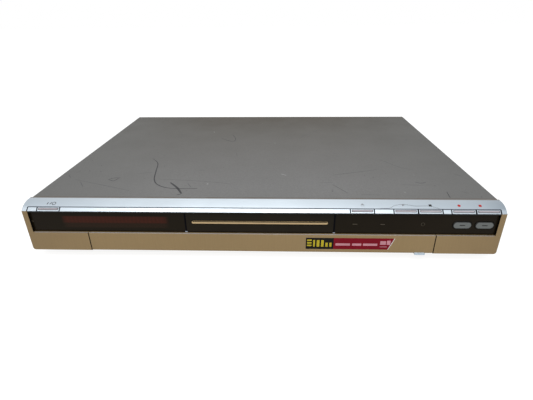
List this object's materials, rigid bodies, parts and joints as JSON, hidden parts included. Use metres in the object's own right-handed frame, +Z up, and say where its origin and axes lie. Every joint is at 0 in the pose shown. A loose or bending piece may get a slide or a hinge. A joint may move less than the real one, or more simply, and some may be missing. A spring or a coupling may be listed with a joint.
{
  "type": "dvd recorder",
  "caption": "Slim full-width disc and hard-disk recorder with a sliding disc tray, dark front windows, a drop-down flap and buttons along a rounded nose.",
  "frame": {"origin": "on the table, under the middle of the whole recorder", "axes": "+X to the right seen from the front, +Y to the rear, +Z up; the front faces -Y"},
  "size_m": [0.43, 0.3314, 0.0554],
  "materials": {
    "cover_paint": "satin grey paint",
    "steel": "zinc-plated sheet",
    "screw_steel": "plated",
    "dark_screws": "blackened",
    "rubber_feet": "matt",
    "silver_plastic": "metallic silver paint",
    "gold_plastic": "metallic gold paint with a fine vertical grain",
    "window_acrylic": "dark smoked acrylic",
    "tray_black": "gloss black",
    "bar_gold": "metallic gold",
    "button_grey": "grey",
    "black_plastic": "matt black",
    "board_green": "solder mask",
    "board_brown": "paper laminate",
    "display_glass": "dark glass",
    "jack_plastic": "black with coloured rings",
    "ferrite": "ferrite and tape",
    "capacitor_sleeve": "dark sleeve",
    "aluminium": "extruded",
    "cast_aluminium": "cast",
    "tin_plate": "tin plate",
    "tray_plastic": "black",
    "gear_plastic": "acetal",
    "belt_rubber": "square section",
    "rod_steel": "ground",
    "ribbon_grey": "flat cable"
  },
  "bodies": {
    "casing": {"top_cover": "cover_paint", "cover_screws": "dark_screws", "bottom_chassis": "steel", "feet": "rubber_feet", "inner_screws": "screw_steel", "rear_panel": "steel", "top_trim": "silver_plastic", "front_panel": "gold_plastic", "display_window": "window_acrylic", "control_window": "window_acrylic", "jack_board": "board_brown", "front_jacks": "jack_plastic", "key_boards": "board_brown", "tact_switches": "black_plastic", "display_tube": "display_glass", "ir_sensor_and_lamps": "black_plastic", "power_board": "board_brown", "power_transformer": "ferrite", "power_capacitors": "capacitor_sleeve", "power_heatsinks": "aluminium", "ac_inlet": "black_plastic", "main_board": "board_green", "main_chips": "black_plastic", "tuner_modules": "tin_plate", "scart_sockets": "black_plastic", "rear_jacks": "jack_plastic", "fan_frame": "black_plastic", "hdd_bracket": "steel", "hdd_base": "cast_aluminium", "hdd_lid": "aluminium", "drive_case": "steel", "drive_lid": "steel", "loader_frame": "black_plastic", "loading_motor": "steel", "drive_belt": "belt_rubber", "clamp_bridge": "steel", "ribbon_cables": "ribbon_grey"},
    "tray_unit": {"tray": "tray_plastic", "tray_front": "tray_black", "tray_bar": "bar_gold"},
    "tray_gear": {"tray_gear": "gear_plastic"},
    "pulley_gear": {"pulley_gear": "gear_plastic"},
    "motor_pulley": {"motor_pulley": "gear_plastic"},
    "traverse_unit": {"traverse": "black_plastic", "guide_rods": "rod_steel"},
    "pickup": {"pickup": "black_plastic"},
    "lead_screw": {"lead_screw": "rod_steel"},
    "turntable": {"turntable": "black_plastic"},
    "clamper": {"clamper": "black_plastic"},
    "fan_rotor": {"fan_rotor": "black_plastic"},
    "front_flap": {"front_flap": "gold_plastic"},
    "program_rocker": {"program_rocker": "button_grey"},
    "select_button_left": {"select_button_left": "button_grey"},
    "select_button_right": {"select_button_right": "button_grey"},
    "power_button": {"power_button": "silver_plastic"},
    "rec_stop_button": {"rec_stop_button": "silver_plastic"},
    "rec_button": {"rec_button": "silver_plastic"},
    "stop_button": {"stop_button": "silver_plastic"},
    "play_button": {"play_button": "silver_plastic"},
    "open_close_button": {"open_close_button": "silver_plastic"}
  },
  "joints": [
    {"name": "tray_slide", "type": "slide", "parent": "casing", "child": "tray_unit", "axis": [0, -1, 0], "range_m": [0, 0.138]},
    {"name": "tray_gear_spin", "type": "hinge", "parent": "casing", "child": "tray_gear", "pos_m": [-0.045, -0.1264, 0.0272], "axis": [0, 0, 1], "range_deg": [0, 660]},
    {"name": "pulley_gear_spin", "type": "hinge", "parent": "casing", "child": "pulley_gear", "pos_m": [-0.027, -0.1264, 0.0272], "axis": [0, 0, 1], "range_deg": [-1319, 0]},
    {"name": "motor_pulley_spin", "type": "hinge", "parent": "casing", "child": "motor_pulley", "pos_m": [0.02, -0.1264, 0.0188], "axis": [0, 0, 1], "range_deg": [-5053, 0]},
    {"name": "traverse_lift", "type": "slide", "parent": "casing", "child": "traverse_unit", "axis": [0, 0, 1], "range_m": [0, 0.007]},
    {"name": "pickup_slide", "type": "slide", "parent": "traverse_unit", "child": "pickup", "axis": [0, 1, 0], "range_m": [0, 0.034]},
    {"name": "lead_screw_spin", "type": "hinge", "parent": "traverse_unit", "child": "lead_screw", "pos_m": [0.037, -0.09205, 0.0225], "axis": [0, 1, 0], "range_deg": [0, 4082]},
    {"name": "turntable_spin", "type": "hinge", "parent": "traverse_unit", "child": "turntable", "pos_m": [0, -0.09205, 0.0292], "axis": [0, 0, 1], "continuous": true},
    {"name": "clamper_spin", "type": "hinge", "parent": "casing", "child": "clamper", "pos_m": [0, -0.09205, 0.0412], "axis": [0, 0, 1], "continuous": true},
    {"name": "fan_spin", "type": "hinge", "parent": "casing", "child": "fan_rotor", "pos_m": [-0.07, 0.15145, 0.0326], "axis": [0, 1, 0], "continuous": true},
    {"name": "flap_hinge", "type": "hinge", "parent": "casing", "child": "front_flap", "pos_m": [0, -0.16285, 0.0098], "axis": [1, 0, 0], "range_deg": [0, 90]},
    {"name": "rocker_tilt", "type": "hinge", "parent": "casing", "child": "program_rocker", "pos_m": [0.12, -0.14865, 0.0176], "axis": [0, 0, 1], "range_deg": [-3, 3], "stiffness_Nm_per_rad": 0.02},
    {"name": "power_button_press", "type": "slide", "parent": "casing", "child": "power_button", "axis": [0, 0.6512, -0.7589], "range_m": [0, 0.0005], "stiffness_N_per_m": 600, "springref_m": -0.0005},
    {"name": "rec_stop_button_press", "type": "slide", "parent": "casing", "child": "rec_stop_button", "axis": [0, 0.6512, -0.7589], "range_m": [0, 0.0005], "stiffness_N_per_m": 600, "springref_m": -0.0005},
    {"name": "rec_button_press", "type": "slide", "parent": "casing", "child": "rec_button", "axis": [0, 0.6512, -0.7589], "range_m": [0, 0.0005], "stiffness_N_per_m": 600, "springref_m": -0.0005},
    {"name": "stop_button_press", "type": "slide", "parent": "casing", "child": "stop_button", "axis": [0, 0.6512, -0.7589], "range_m": [0, 0.0005], "stiffness_N_per_m": 600, "springref_m": -0.0005},
    {"name": "play_button_press", "type": "slide", "parent": "casing", "child": "play_button", "axis": [0, 0.6512, -0.7589], "range_m": [0, 0.0005], "stiffness_N_per_m": 600, "springref_m": -0.0005},
    {"name": "open_close_button_press", "type": "slide", "parent": "casing", "child": "open_close_button", "axis": [0, 0.6512, -0.7589], "range_m": [0, 0.0005], "stiffness_N_per_m": 600, "springref_m": -0.0005},
    {"name": "select_button_left_press", "type": "slide", "parent": "casing", "child": "select_button_left", "axis": [0, 1, 0], "range_m": [0, 0.0005], "stiffness_N_per_m": 600, "springref_m": -0.0005},
    {"name": "select_button_right_press", "type": "slide", "parent": "casing", "child": "select_button_right", "axis": [0, 1, 0], "range_m": [0, 0.0005], "stiffness_N_per_m": 600, "springref_m": -0.0005}
  ],
  "couplings": [
    {"joint": "tray_gear_spin", "follows": "tray_slide", "rad_per_m": 83.333},
    {"joint": "pulley_gear_spin", "follows": "tray_slide", "rad_per_m": -166.67},
    {"joint": "motor_pulley_spin", "follows": "tray_slide", "rad_per_m": -638.89},
    {"joint": "lead_screw_spin", "follows": "pickup_slide", "rad_per_m": 2094.4},
    {"joint": "clamper_spin", "follows": "turntable_spin", "ratio": 1}
  ]
}
